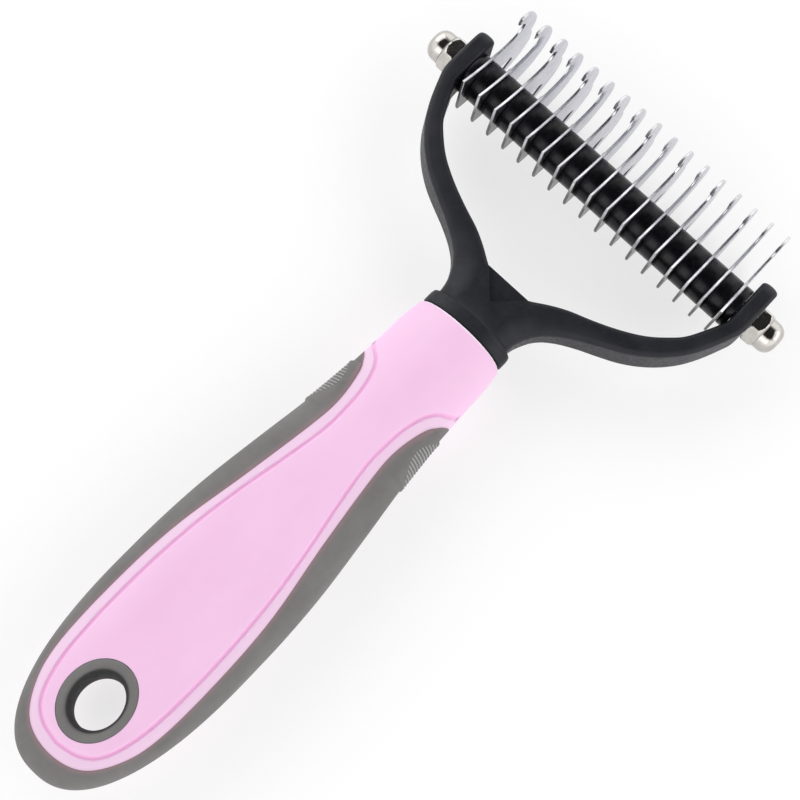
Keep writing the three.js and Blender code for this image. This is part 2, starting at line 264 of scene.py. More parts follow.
class Surface:
    """A Principled material with a few procedural helpers, in millimetres."""

    def __init__(self, name, color, roughness, metallic=0.0):
        self.material = bpy.data.materials.new(name)
        self.material.use_nodes = True
        self.nodes = self.material.node_tree.nodes
        self.links = self.material.node_tree.links
        self.shader = self.nodes["Principled BSDF"]
        self.shader.inputs["Base Color"].default_value = (*color, 1)
        self.shader.inputs["Roughness"].default_value = roughness
        self.shader.inputs["Metallic"].default_value = metallic
        self.place = self.nodes.new("ShaderNodeTexCoord").outputs["Object"]
        self.normal = None

    def noise(self, size, stretch=(1, 1, 1), detail=2.0, seed=0.0):
        """Noise whose features are about size mm across, drawn out along the axes by stretch."""
        mapping = self.nodes.new("ShaderNodeMapping")
        mapping.inputs["Location"].default_value = (seed, seed, seed)
        mapping.inputs["Scale"].default_value = [1 / (size * MM * s) for s in stretch]
        noise = self.nodes.new("ShaderNodeTexNoise")
        noise.inputs["Scale"].default_value = 1
        noise.inputs["Detail"].default_value = detail
        self.links.new(self.place, mapping.inputs["Vector"])
        self.links.new(mapping.outputs["Vector"], noise.inputs["Vector"])
        return noise.outputs["Fac"]

    def spread(self, factor, low, high, from_low=0.3, from_high=0.7):
        """Maps a 0 to 1 factor onto the range low to high."""
        node = self.nodes.new("ShaderNodeMapRange")
        node.inputs["From Min"].default_value = from_low
        node.inputs["From Max"].default_value = from_high
        node.inputs["To Min"].default_value = low
        node.inputs["To Max"].default_value = high
        self.links.new(factor, node.inputs["Value"])
        return node.outputs["Result"]

    def blend_color(self, factor, first, second):
        node = self.nodes.new("ShaderNodeMix")
        node.data_type = "RGBA"
        for socket, color in ((node.inputs[6], first), (node.inputs[7], second)):
            if isinstance(color, bpy.types.NodeSocket):
                self.links.new(color, socket)
            else:
                socket.default_value = (*color, 1)
        self.links.new(factor, node.inputs[0])
        return node.outputs[2]

    def mottled(self, noise, first, second):
        """Wanders between two colours with the noise."""
        return self.blend_color(self.spread(noise, 0, 1), first, second)

    def mark(self, name):
        """The named number that the mesh holds at each point."""
        node = self.nodes.new("ShaderNodeAttribute")
        node.attribute_name = name
        return node.outputs["Fac"]

    def painted(self, mark, under, over, strength, start=0.0, full=1.0):
        """Lays one colour over another where a mark runs from start to full."""
        return self.blend_color(self.spread(self.mark(mark), 0, strength, start, full), under, over)

    def heel_shade(self):
        """1 on the part of a blade that points down towards the handle, where painted shade goes, 0
        elsewhere.
        """
        axes = self.nodes.new("ShaderNodeSeparateXYZ")
        self.links.new(self.place, axes.inputs["Vector"])
        low = self.spread(axes.outputs["Z"], 1, 0, AXLE.z + 1 * MM, AXLE.z + 7.5 * MM)
        back = self.spread(axes.outputs["Y"], 1, 0, AXLE.y - 3.5 * MM, AXLE.y - 1 * MM)
        both = self.nodes.new("ShaderNodeMath")
        both.operation = "MULTIPLY"
        self.links.new(low, both.inputs[0])
        self.links.new(back, both.inputs[1])
        return both.outputs["Value"]

    def color(self, output):
        self.links.new(output, self.shader.inputs["Base Color"])

    def roughness(self, output):
        self.links.new(output, self.shader.inputs["Roughness"])

    def bump(self, factor, height):
        """Adds relief of the given height in mm."""
        node = self.nodes.new("ShaderNodeBump")
        node.inputs["Strength"].default_value = 1
        node.inputs["Distance"].default_value = height * MM
        self.links.new(factor, node.inputs["Height"])
        if self.normal is not None:
            self.links.new(self.normal, node.inputs["Normal"])
        self.normal = node.outputs["Normal"]
        self.links.new(self.normal, self.shader.inputs["Normal"])


def pink_plastic():
    s = Surface("pink_plastic", (0.88, 0.56, 0.79), 0.5)
    tone = s.mottled(s.noise(9, (1, 2.5, 1), 3), (0.87, 0.545, 0.78), (0.9, 0.58, 0.81))
    banded = s.painted("band", tone, (0.8, 0.6, 0.76), 0.6)
    # painted shade: darker pink down in the decorative groove
    groove_shaded = s.painted("groove", banded, (0.87, 0.42, 0.72), 0.85)
    rimmed = s.painted("rim", groove_shaded, (0.55, 0.36, 0.48), 0.45)
    # painted highlight: a near-white line along the rounded end of the sleeve
    s.color(s.painted("painted_lip_highlight", rimmed, (0.97, 0.88, 0.94), 0.8))
    s.roughness(s.spread(s.noise(3, (1, 1, 1), 4, 2), 0.45, 0.6))
    s.bump(s.noise(0.22, (1, 1, 1), 2, 5), 0.006)
    s.bump(s.noise(14, (1, 1, 1), 1, 7), 0.05)
    s.shader.inputs["Subsurface Weight"].default_value = 0.08
    s.shader.inputs["Subsurface Radius"].default_value = (1.2, 0.6, 0.8)
    s.shader.inputs["Subsurface Scale"].default_value = 0.001
    return s.material


def grey_rubber():
    s = Surface("grey_rubber", (0.185, 0.178, 0.175), 0.75)
    tone = s.mottled(s.noise(6, (1, 2, 1), 4), (0.14, 0.137, 0.135), (0.175, 0.169, 0.166))
    # painted highlight: the crests of the ribs are lighter grey
    ribbed = s.painted("rib_highlight", tone, (0.35, 0.35, 0.35), 0.9, 0.25, 0.9)
    rimmed = s.painted("rim", ribbed, (0.3, 0.175, 0.2), 0.65)
    # painted shade: near black inside the hanging hole's bore
    s.color(s.painted("bore", rimmed, (0.015, 0.015, 0.016), 0.9))
    s.roughness(s.spread(s.noise(1.5, (1, 1, 1), 3, 3), 0.66, 0.84))
    s.bump(s.noise(0.18, (1, 1, 1), 3, 1), 0.012)
    return s.material


def black_plastic():
    s = Surface("charcoal_plastic", (0.012, 0.0125, 0.017), 0.5)
    s.color(s.mottled(s.noise(5, (1, 1, 1), 3), (0.0095, 0.01, 0.0138), (0.0165, 0.0172, 0.0228)))
    s.roughness(s.spread(s.noise(0.9, (1, 1, 1), 4, 4), 0.38, 0.54))
    s.shader.inputs["Specular IOR Level"].default_value = 0.25
    s.bump(s.noise(0.14, (1, 1, 1), 2, 6), 0.007)
    return s.material


def glossy_black():
    s = Surface("glossy_black", (0.004, 0.004, 0.005), 0.3)
    s.roughness(s.spread(s.noise(1.2, (0.6, 1, 1), 4), 0.2, 0.34))
    s.shader.inputs["Specular IOR Level"].default_value = 0.22
    s.color(s.mottled(s.noise(2.5, (1, 1, 1), 3, 8), (0.003, 0.003, 0.004), (0.007, 0.0065, 0.009)))
    s.bump(s.noise(3, (1, 1, 1), 1, 3), 0.02)
    return s.material


def stamped_steel():
    """Brighter along the ground edges, partly their polish and partly painted highlight, with painted
    shade on the heels that point down.
    """
    s = Surface("stamped_steel", (0.58, 0.58, 0.62), 0.26, 1.0)
    grain = s.noise(0.12, (1, 14, 1), 4)
    tone = s.mottled(s.noise(4, (1, 1, 1), 3, 2), (0.48, 0.48, 0.54), (0.6, 0.6, 0.65))
    # ground edges: partly their polish, partly painted highlight
    polished_and_highlit = s.mottled(s.noise(5, (1, 1, 1), 2, 6), (0.42, 0.42, 0.44), (0.92, 0.92, 0.93))
    edge_highlighted = s.painted("edge", tone, polished_and_highlit, 1, 0.2, 0.9)
    # painted shade: the heels that point down are near black
    s.color(s.blend_color(s.heel_shade(), edge_highlighted, (0.065, 0.065, 0.07)))
    s.roughness(s.spread(grain, 0.18, 0.34))
    s.bump(grain, 0.004)
    return s.material


def nickel():
    s = Surface("nickel_plating", (0.53, 0.51, 0.48), 0.1, 1.0)
    s.color(s.mottled(s.noise(2, (1, 1, 1), 3, 4), (0.47, 0.45, 0.42), (0.58, 0.56, 0.53)))
    s.roughness(s.spread(s.noise(0.6, (1, 1, 1), 4, 1), 0.07, 0.16))
    s.bump(s.noise(1.1, (1, 1, 1), 2, 9), 0.01)
    return s.material


PINK = pink_plastic()
GREY = grey_rubber()
BLACK = black_plastic()
GLOSS = glossy_black()
STEEL = stamped_steel()
NICKEL = nickel()

# ------------------------------------------------------------------ handle form

half_width_of_body = profile([
    (-128, 17.55), (-120, 17.5), (-108, 16.9), (-93, 15.2), (-79, 13.4), (-66, 12.3), (-59, 12.0),
    (-50, 11.6), (SLEEVE_END_Y, 11.1),
])
half_depth_of_body = profile([
    (-145, 8.5), (-122, 9.2), (-100, 9.0), (-80, 8.0), (-60, 7.0), (SLEEVE_END_Y, 6.6),
])
squareness_along = profile([
    (-125, 2.8), (-100, 2.6), (-80, 2.35), (-60, 2.1), (SLEEVE_END_Y, 2.0),
])
panel_line = spline([
    (12.6, -63), (10.6, -65.6), (9.0, -69.3), (7.8, -76.5), (8.3, -84.5), (10.6, -101),
    (13.3, -118), (14.1, -134), (13.6, -149), (11.4, -157.5), (6.9, -163.6), (0, -165.5),
    (-6.9, -163.6),
])
PANEL = np.array([panel_line(t) for t in np.linspace(0, 11, 221)])
BACK_FLAT = 8.6                     # the broad faces level off here
LEVELLING = 0.5


def closing(y, start, exponent):
    """Falls from 1 at start to 0 at the butt, on a superellipse."""
    past = np.clip((start - y) / (start - BUTT_Y), 0, 1)
    return np.maximum(1 - past**exponent, 1e-6) ** (1 / exponent)


def handle_size(y):
    """Half width and half depth of the handle at y, closing at the butt."""
    y = np.asarray(y, float)
    return (
        half_width_of_body(y) * closing(y, -128, 2.4),
        half_depth_of_body(y) * closing(y, -145, 2.3),
    )


def level(z):
    """Bends heights above the flat's edge over, so that the broad faces are nearly flat."""
    start = BACK_FLAT - LEVELLING
    over = np.maximum(z - start, 0)
    return np.minimum(z, start) + LEVELLING * np.tanh(over / LEVELLING)


def face_height(x, y):
    """Height of the handle's upper face above its middle plane."""
    w, h = handle_size(y)
    exponent = squareness_along(y)
    inside = np.clip(1 - np.abs(x / w) ** exponent, 0, 1)
    return level(h * inside ** (1 / exponent))


def reach(centre_y, direction, tilt):
    """Distance from (0, centre_y, 0) to the handle's surface. direction is the heading seen from
    above and tilt the angle from straight up, 90 degrees being level."""
    near = np.zeros(np.broadcast(centre_y, tilt).shape)
    far = near + 45.0
    for _ in range(40):
        middle = (near + far) / 2
        x = middle * np.sin(tilt) * direction[0]
        y = centre_y + middle * np.sin(tilt) * direction[1]
        z = middle * np.cos(tilt)
        w, h = handle_size(y)
        exponent = squareness_along(y)
        inside = np.abs(x / w) ** exponent + np.abs(z / h) ** exponent < 1
        inside &= y > BUTT_Y
        near = np.where(inside, middle, near)
        far = np.where(inside, far, middle)
    return near


def panel_reach(direction):
    """Distance from the middle of the hanging hole to the panel's edge, for the fan of rows."""
    outline = PANEL[PANEL[:, 1] <= HOLE_Y]
    headings = np.arctan2(HOLE_Y - outline[:, 1], outline[:, 0])
    distances = np.hypot(outline[:, 0], HOLE_Y - outline[:, 1])
    heading = math.atan2(-direction[1], direction[0])
    return float(np.interp(heading, headings, distances))


class Row:
    """One line of points from the middle of the upper face to the side of the handle."""

    def __init__(self, y, angle=0.0, scale=1.0):
        self.y = y
        self.direction = (max(math.cos(angle), 0.0), -math.sin(angle))
        if angle == math.pi / 2:
            self.direction = (0.0, -1.0)
        self.scale = scale
        if angle > 0:
            self.edge = panel_reach(self.direction)
        elif y < PANEL_TOP_Y:
            self.edge = float(np.interp(y, PANEL[::-1, 1], PANEL[::-1, 0]))
        else:
            self.edge = float(handle_size(y)[0]) * 0.985
        x, py = self.edge * self.direction[0], y + self.edge * self.direction[1]
        w, h = handle_size(py)
        exponent = float(squareness_along(py))
        inside = max(1 - abs(x / w) ** exponent, 0)
        self.edge_tilt = math.atan2(self.edge, h * inside ** (1 / exponent))

    def on_face(self, distance):
        """Points of the upper face, at these distances from the middle."""
        x = distance * self.direction[0]
        y = self.y + distance * self.direction[1]
        return np.stack([x, y, face_height(x, y)], axis=-1)

    def on_side(self, tilts, inset=0.0):
        """Points round the side, from the face's edge at tilt edge_tilt to level at 90 degrees."""
        r = reach(self.y, self.direction, tilts) - inset
        out = r * np.sin(tilts)
        z = level(r * np.cos(tilts))
        z[np.abs(tilts - math.pi / 2) < 1e-9] = 0
        return np.stack([out * self.direction[0], self.y + out * self.direction[1], z], axis=-1)


def fan(count=72):
    """Rows that turn about the hole's middle, from level with it round to the butt."""
    return [Row(HOLE_Y, math.pi / 2 * k / count) for k in range(1, count + 1)]


# ------------------------------------------------------------------ hard shell of the handle

GROOVE_HALF_WIDTH = 0.52
GROOVE_DEPTH = 0.4
groove_line = spline([
    (12.2, -60.6), (10.6, -62.4), (8.5, -64.3), (6.9, -67.4), (5.9, -72), (5.6, -77), (5.7, -83),
    (7.2, -93), (9.2, -104), (10.9, -117), (11.7, -132), (11.4, -146), (10.2, -154),
    (8.0, -159.4), (4.6, -162.1), (0, -163.1),
])
GROOVE = np.array([groove_line(t) for t in np.linspace(0, 15, 241)])


def off_groove(points):
    """How far each point lies from the middle of the decorative groove, seen from above."""
    return distance_to_line(points[:, :2], GROOVE)


def handle_shell():
    """The hard shot: sleeve, socket and both panels in one quarter, mirrored, with the seat of the
    liner cut through."""
    rows = [Row(y, scale=k) for y, k in (
        (SOCKET_END_Y, 0.0), (SOCKET_END_Y, SOCKET_SCALE), (-47.6, SOCKET_SCALE), (-47.0, 0.735),
        (-46.7, 0.76), (SLEEVE_END_Y, 0.79), (SLEEVE_END_Y, 0.9), (-46.62, 0.925), (-46.72, 0.95),
        (-46.92, 0.972), (-47.2, 0.988), (-47.6, 0.997),
    )]
    rows += [Row(y) for y in np.arange(-48, -60, -0.6)]
    rows += [Row(y) for y in np.arange(-60, -72, -0.22)]
    rows += [Row(y) for y in np.arange(-72, HOLE_Y, -0.6)]
    rows += [Row(HOLE_Y)] + fan()
    inner_columns, band_columns, side_columns = 16, 26, 12
    band_width = 4.2                    # finely divided, as the groove runs in it
    rounding, rounding_width = 0.09, 0.3
    lines, groove_shaded, rimmed, banded, lip_highlighted = [], [], [], [], []
    for row in rows:
        inner = np.linspace(0, max(row.edge - band_width, row.edge * 0.4), inner_columns + 1)
        outer = np.linspace(inner[-1], row.edge, band_columns + 1)[1:]
        face = row.on_face(np.concatenate([inner, outer]))
        across = np.clip(off_groove(face) / GROOVE_HALF_WIDTH, 0, 1)
        face[:, 2] -= GROOVE_DEPTH * (1 - across**2) ** 0.8
        edge_gap = np.hypot(*(face[:, :2] - face[-1, :2]).T)
        rounded = rounding * np.clip(1 - edge_gap / rounding_width, 0, 1) ** 2
        face[:, 2] -= rounded * (row.y < PANEL_TOP_Y)
        tilts = np.linspace(row.edge_tilt, math.pi / 2, side_columns + 1)
        inset = GRIP_WALL * smooth_step(PANEL_TOP_Y, PANEL_TOP_Y - 2.5, row.y)
        side = row.on_side(tilts, inset)
        line = np.concatenate([face, side])
        line[:, (0, 2)] *= row.scale
        lines.append(line)
        # where painted shade darkens the groove
        groove_shaded += [*(1 - smooth_step(0.35, 1, across)), *np.zeros(len(side))]
        near_edge = (1 - smooth_step(0, 0.5, edge_gap)) * (row.y < PANEL_TOP_Y)
        rimmed += [*near_edge, *np.zeros(len(side))]
        beyond = (np.arange(len(face)) > np.argmin(across)) & (across.min() < 0.8)
        banded += [*beyond.astype(float), *np.zeros(len(side))]
        # painted highlight along the rounded end of the sleeve
        lip_highlighted += [float(row.y > -47.0 and row.scale > 0.94)] * len(line)
    points = np.concatenate(lines)
    faces = grid_faces(len(lines), len(lines[0]))
    points, faces = mirrored(points, faces, QUARTERS)
    marks = {"groove": groove_shaded, "rim": rimmed, "band": banded, "painted_lip_highlight": lip_highlighted}
    marks = {mark: np.tile(values, 4) for mark, values in marks.items()}
    shell = piece("handle_shell", points, faces, PINK, "handle_core", marks=marks)
    seat = LINER_RADIUS + SEAM
    spool = [(0.0, -20), (seat, -20), (seat, -LINER_SEAT_Z), (LINER_WALL + 0.1, -LINER_SEAT_Z),
             (LINER_WALL + 0.1, LINER_SEAT_Z), (seat, LINER_SEAT_Z), (seat, 20), (0.0, 20)]
    points, faces = lathe(spool, 128, HOLE_STRETCH)
    cut(shell, points + (0, HOLE_Y, 0), faces)
    return shell


# ------------------------------------------------------------------ soft grip

PAD_TOP_Y, PAD_END_Y = -66.8, -80.3
PAD_HALF_HEIGHT = 6.5
PAD_PROUD = 0.45
RIB_PITCH = 0.78
RIB_DEPTH = 0.13
RIB_OVAL = {"y": -73.6, "half_length": 6.2, "half_height": 5.2}


def off_oval(points):
    """0 in the middle of the ribbed oval on the grip's side, 1 on its edge."""
    along = (points[..., 1] - RIB_OVAL["y"]) / RIB_OVAL["half_length"]
    return np.hypot(along, points[..., 2] / RIB_OVAL["half_height"])


def thumb_rest(points):
    """How far the thumb rest stands out of the grip's side at each point."""
    y, z = points[..., 1], np.abs(points[..., 2])
    ramp = smooth_step(PAD_TOP_Y, PAD_TOP_Y - 0.5, y) * smooth_step(PAD_END_Y, PAD_END_Y + 0.9, y)
    pad = PAD_PROUD * ramp * smooth_step(PAD_HALF_HEIGHT, PAD_HALF_HEIGHT - 1.2, z)
    oval = off_oval(points)
    inside = smooth_step(1.0, 0.94, oval)
    ribs = RIB_DEPTH * np.cos(2 * math.pi * (y - RIB_OVAL["y"]) / RIB_PITCH)
    return pad + inside * (ribs - 1.2 * RIB_DEPTH)


def grip():
    """The soft shot: a skin over both sides and the butt, with a thumb rest on each side."""
    rows = [Row(y) for y in (PANEL_TOP_Y - 0.02, PANEL_TOP_Y - 0.1)]
    rows += [Row(y) for y in np.arange(PANEL_TOP_Y - 0.25, -66.4, -0.25)]
    rows += [Row(y) for y in np.arange(-66.5, -80.8, -0.1)]
    rows += [Row(y) for y in np.arange(-81, HOLE_Y, -0.8)]
    rows += [Row(HOLE_Y)] + fan()
    side_columns = 34
    rounding, rounding_width = 0.1, 0.3
    outer_lines, inner_lines, rimmed, ribbed = [], [], [], []
    for row in rows:
        start = row.edge_tilt + SEAM / max(row.edge, 1)
        span = math.pi / 2 - start
        tilts = start + span * np.linspace(0, 1, side_columns + 1) ** 1.15
        tilts[-1] = math.pi / 2
        outer = row.on_side(tilts)
        heading = np.stack([np.sin(tilts) * row.direction[0], np.sin(tilts) * row.direction[1],
                            np.cos(tilts)], axis=-1)
        edge_gap = (tilts - start) * row.edge
        rounded = rounding * np.clip(1 - edge_gap / rounding_width, 0, 1) ** 2
        outer = outer + heading * (thumb_rest(outer) - rounded)[:, None]
        outer[-1, 2] = 0
        wall = (GRIP_WALL - 0.1) * smooth_step(PANEL_TOP_Y, PANEL_TOP_Y - 2.5, row.y)
        inner = row.on_side(tilts, max(wall, 0.02))
        outer_lines.append(outer)
        inner_lines.append(inner)
        none = np.zeros(len(inner))
        rimmed += [*none, *(1 - smooth_step(0, 0.9, edge_gap))]
        # crests of the ribs, lighter by painted highlight
        crest = 0.5 + 0.5 * np.cos(2 * math.pi * (outer[:, 1] - RIB_OVAL["y"]) / RIB_PITCH)
        ribbed += [*none, *(crest * smooth_step(1.0, 0.95, off_oval(outer)))]
    lines = [np.concatenate([i[::-1], o]) for i, o in zip(inner_lines, outer_lines)]
    columns = len(lines[0])
    points = np.concatenate(lines)
    faces = grid_faces(len(lines), columns)
    first_row = [tuple(range(columns))]
    points, faces = mirrored(points, faces + first_row, QUARTERS)
    marks = {"rim": np.tile(rimmed, 4), "rib_highlight": np.tile(ribbed, 4)}
    return piece("soft_grip", points, faces, GREY, "grip_overmould",
                 sharp_angle=50, marks=marks)


# ------------------------------------------------------------------ liner of the hanging hole


def hole_liner():
    """An oval eyelet whose rims follow the handle's faces and roll over into the bore."""
    side = LINER_RADIUS - SEAM
    rim = [(side, -0.5), (side, -0.1), (7.15, 0.02), (6.9, 0.12), (6.6, 0.16), (6.3, 0.12),
           (6.05, 0.0), (5.85, -0.2), (5.65, -0.5), (5.45, -0.9), (5.28, -1.4), (5.12, -2.0),
           (4.98, -2.8), (4.87, -3.7), (HOLE_RADIUS, -4.8)]
    # painted shade, growing to near black down the bore
    shadowed = [0, 0, 0, *[smooth_step(-0.25, -1.1, h) for r, h in rim], 1]
    segments = 96
    lines = []
    for k in range(segments):
        angle = 2 * math.pi * k / segments
        c, s = math.cos(angle), math.sin(angle) * HOLE_STRETCH
        surface = float(face_height(LINER_RADIUS * c, HOLE_Y + LINER_RADIUS * s))
        line = [(LINER_WALL * c, HOLE_Y + LINER_WALL * s, 0.0),
                (LINER_WALL * c, HOLE_Y + LINER_WALL * s, LINER_SEAT_Z + 0.05),
                (side * c, HOLE_Y + side * s, LINER_SEAT_Z + 0.05)]
        line += [(r * c, HOLE_Y + r * s, surface + h) for r, h in rim]
        line.append((HOLE_RADIUS * c, HOLE_Y + HOLE_RADIUS * s, 0.0))
        lines.append(line)
    lines.append(lines[0])
    points = np.array(lines, float).reshape(-1, 3)
    faces = grid_faces(len(lines), len(lines[0]))
    points, faces = mirrored(points, faces, ((1, 1), (1, -1)))
    marks = {"bore": np.tile(shadowed, 2 * len(lines))}
    return piece("hole_liner", points, faces, GREY, "hang_hole_liner", marks=marks)


# ------------------------------------------------------------------ fork

EAR_MIDDLE = (EAR_INSIDE + EAR_OUTSIDE) / 2
EAR_HALF_WIDTH = (EAR_OUTSIDE - EAR_INSIDE) / 2
EAR_END_Y = 8.2
EAR_ROUND_Y = 4.4                   # beyond this the ear curves down to its end
EAR_DROP = 3.6
FORK_HALF_DEPTH = 5.4
EDGE_RADIUS = 1.0
WEB_Y = -32.05                      # edge of the web between the arms
COLLAR_HALF_DEPTH = 6.1

# Across the fork, from its outer side to its inner side, or to its middle where the arms have
# joined: outer x, y; inner x, y; how far the face falls towards the outer side; how much the
# section is an ellipse instead of a rounded bar.
FORK_ROWS = [
    (43.3, EAR_ROUND_Y, 39.2, EAR_ROUND_Y, 0, 0),
    (43.3, 0.0, 39.2, 0.0, 0, 0),
    (43.2, -4.9, 39.2, -5.2, 0.2, 0),
    (42.2, -8.2, 38.5, -7.3, 0.4, 0),
    (40.2, -13.0, 36.7, -11.2, 0.5, 0),
    (37.9, -17.1, 34.7, -14.8, 0.6, 0),
    (35.0, -20.7, 32.0, -17.7, 0.7, 0),
    (31.7, -23.7, 29.0, -20.3, 0.8, 0),
    (28.1, -26.2, 25.7, -22.4, 1.0, 0),
    (24.1, -28.3, 21.8, -24.4, 1.3, 0),
    (20.0, -30.3, 17.6, -26.2, 1.7, 0),
    (16.2, -32.5, 13.2, -27.9, 2.1, 0),
    (13.6, -34.5, 9.6, -29.8, 2.3, 0),
    (12.2, -36.0, 6.1, WEB_Y, 2.4, 0),
    (11.5, -37.0, 0.0, WEB_Y, 2.4, 0),
    (10.7, -38.6, 0.0, -36.6, 2.3, 0.05),
    (10.0, -40.4, 0.0, -40.0, 2.0, 0.2),
    (9.7, -42.2, 0.0, -42.2, 1.4, 0.6),
    (9.8, -43.1, 0.0, -43.1, 1.0, 0.9),
    (10.75, -43.3, 0.0, -43.3, 1.0, 1),
    (10.9, -44.2, 0.0, -44.2, 1.0, 1),
    (10.9, -46.1, 0.0, -46.1, 1.0, 1),
]
FORK_CORNERS = (13, 14, 18, 19)
WEB_ROW = 14                        # the row that ends in the middle of the web's edge
POCKET_TIP_Y = -38.1
POCKET_FLOOR_Z = 3.9
TANG_TIP_Y = -66.2
TANG_SCALE = 0.55                   # the tang's width next to the collar's
TANG_HALF_DEPTH = 3.0


def fork_rows():
    """Every row of the fork, from the ear's end to the collar, and the number of the web's row."""
    rows = []
    cap_start, cap = EAR_END_Y - 2.0, 2.1
    for k in range(25):
        y = EAR_ROUND_Y + (EAR_END_Y - EAR_ROUND_Y) * math.cos(math.pi / 2 * k / 25)
        past = max(y - cap_start, 0) / (EAR_END_Y - cap_start)
        half = EAR_HALF_WIDTH * (1 - past**cap) ** (1 / cap)
        rows.append((EAR_MIDDLE + half, y, EAR_MIDDLE - half, y, 0, 0))
    at = spline(FORK_ROWS, FORK_CORNERS)
    web = 0
    for k in range(len(FORK_ROWS) - 1):
        steps = 20 if k >= 12 else 6
        if k == WEB_ROW:
            web = len(rows)
        rows += [tuple(at(k + n / steps)) for n in range(steps)]
    return rows + [FORK_ROWS[-1]], web


def fork_heights(xy, row, outer, inner):
    """Height of the fork's upper face at points across one of its rows. outer and inner are the
    lines of the fork's two sides."""
    fall, oval = row[4], row[5]
    ear = np.clip((xy[:, 1] - EAR_ROUND_Y) / (EAR_END_Y - EAR_ROUND_Y), 0, 1)
    bar = FORK_HALF_DEPTH - EAR_DROP * (1 - np.sqrt(1 - ear**2))
    from_outer = distance_to_line(xy, outer)
    down = np.clip(1 - from_outer / (1.6 + 1.5 * fall), 0, 1)
    bar -= fall * (0.3 * down + 0.7 * down**2)
    from_edge = np.minimum(from_outer, distance_to_line(xy, inner))
    gap = np.clip(1 - from_edge / EDGE_RADIUS, 0, 1)
    bar -= EDGE_RADIUS * (1 - np.sqrt(1 - gap**2))
    ellipse = COLLAR_HALF_DEPTH * np.sqrt(np.clip(1 - (xy[:, 0] / row[0]) ** 2, 0, 1))
    return bar * (1 - oval) + ellipse * oval


def fork():
    """Two arms, neck, collar and tang in one quarter, mirrored, with pockets and bores cut out."""
    columns = 64
    wall = 4
    rows, web = fork_rows()
    table = np.array(rows)
    outer, inner = table[:, 0:2], table[:web + 1, 2:4]
    across = (1 - np.cos(np.linspace(0, math.pi, columns + 1))) / 2
    lines = []
    for row in rows:
        start, end = np.array(row[0:2]), np.array(row[2:4])
        xy = start + (end - start) * across[:, None]
        z = fork_heights(xy, row, outer, inner)
        face = np.column_stack([xy, z])
        up = np.linspace(0, 1, wall, endpoint=False)
        outer_wall = [(*start, z[0] * t) for t in up]
        inner_wall = [(*end, z[-1] * t) for t in up[::-1]]
        lines.append(np.array([*outer_wall, *face, *inner_wall]))
    width = len(lines[0])
    arm, neck = lines[:web + 1], [line[:-wall] for line in lines[web:]]
    end = neck[-1]
    for y, shrink, depth in (
        (-46.4, 0.985, 6.0), (-46.45, 0.95, 5.8), (-46.45, TANG_SCALE, TANG_HALF_DEPTH),
        (TANG_TIP_Y + 0.4, TANG_SCALE, TANG_HALF_DEPTH), (TANG_TIP_Y, 0.51, 2.7), (TANG_TIP_Y, 0.51, 0.0),
    ):
        ring = end * (shrink, 1, 1)
        ring[:, 1] = y
        ring[:, 2] *= depth / COLLAR_HALF_DEPTH
        neck.append(ring)
    arm_points, neck_points = np.concatenate(arm), np.concatenate(neck)
    faces = grid_faces(len(arm), width)
    faces += [tuple(len(arm_points) + v for v in face) for face in grid_faces(len(neck), width - wall)]
    points, faces = mirrored(np.concatenate([arm_points, neck_points]), faces, QUARTERS)
    obj = piece("fork", points, faces, BLACK, "yoke")
    for side in (-1, 1):
        cut_pocket(obj, side)
        bore = [(0.0, -4), (BORE_RADIUS, -4), (BORE_RADIUS, 4), (0.0, 4)]
        points, faces = lathe(bore, 48)
        cut(obj, along_axle(points) + (side * EAR_MIDDLE, 0, 0), faces)
    return obj


def cut_pocket(obj, side):
    """Cuts the triangular pocket between the arms, open towards the blades, with slightly sloping
    walls and a small chamfer round its top edge."""
    slope = 0.12
    top = slope + 0.22
    levels = ((POCKET_FLOOR_Z, 0.0), (FORK_HALF_DEPTH - 0.18, slope), (FORK_HALF_DEPTH + 0.1, top),
              (FORK_HALF_DEPTH + 3, top))
    reach_out = WEB_Y - POCKET_TIP_Y + 3
    points = []
    for z, grow in levels:
        tip_y = POCKET_TIP_Y - grow * math.sqrt(2)
        points += [(0, tip_y, side * z), (reach_out + grow, POCKET_TIP_Y + reach_out, side * z),
                   (-reach_out - grow, POCKET_TIP_Y + reach_out, side * z)]
    faces = grid_faces(len(levels), 3, wrap=True)
    faces += [(2, 1, 0), tuple(len(points) - 3 + k for k in range(3))]
    cut(obj, points, faces)


# ------------------------------------------------------------------ blades


def bent(start, control, end, steps=10):
    """Points after start on a quadratic curve."""
    t = np.linspace(0, 1, steps + 1)[1:, None]
    start, control, end = (np.array(p, float) for p in (start, control, end))
    return list((1 - t) ** 2 * start + 2 * t * (1 - t) * control + t**2 * end)


def blade_outline(double_sided):
    """The blade seen from the side, as (y, z) points."""
    path = [np.array((-7.1, 9.4)), np.array((-7.2, -2.8)), np.array((-6.8, -4.6))]
    path += bent(path[-1], (-3.4, -6.4), (2.6, -5.9))
    if double_sided:
        path += [np.array((9.8, -5.2))]
        path += bent(path[-1], (13.2, -5.2), (12.5, -7.4))
        path += [np.array((9.2, -10.4)), np.array((10.0, -11.7))]
        path += bent(path[-1], (13.6, -10.7), (15.9, -8.4))
        path += bent(path[-1], (19.4, -4.3), (17.0, 0.6))
    else:
        path += [np.array((8.0, -5.3))]
        path += bent(path[-1], (14.4, -5.0), (17.0, 0.6), 16)
    path += bent(path[-1], (18.8, 4.6), (16.4, 9.0))
    path += bent(path[-1], (14.5, 13.4), (10.9, 13.4))
    path += [np.array((10.4, 11.4)), np.array((13.1, 8.6))]
    path += bent(path[-1], (12.7, 5.3), (9.0, 5.2), 14)
    path += bent(path[-1], (1.4, 5.2), (-7.1, 9.4), 16)[:-1]
    return np.array(path)


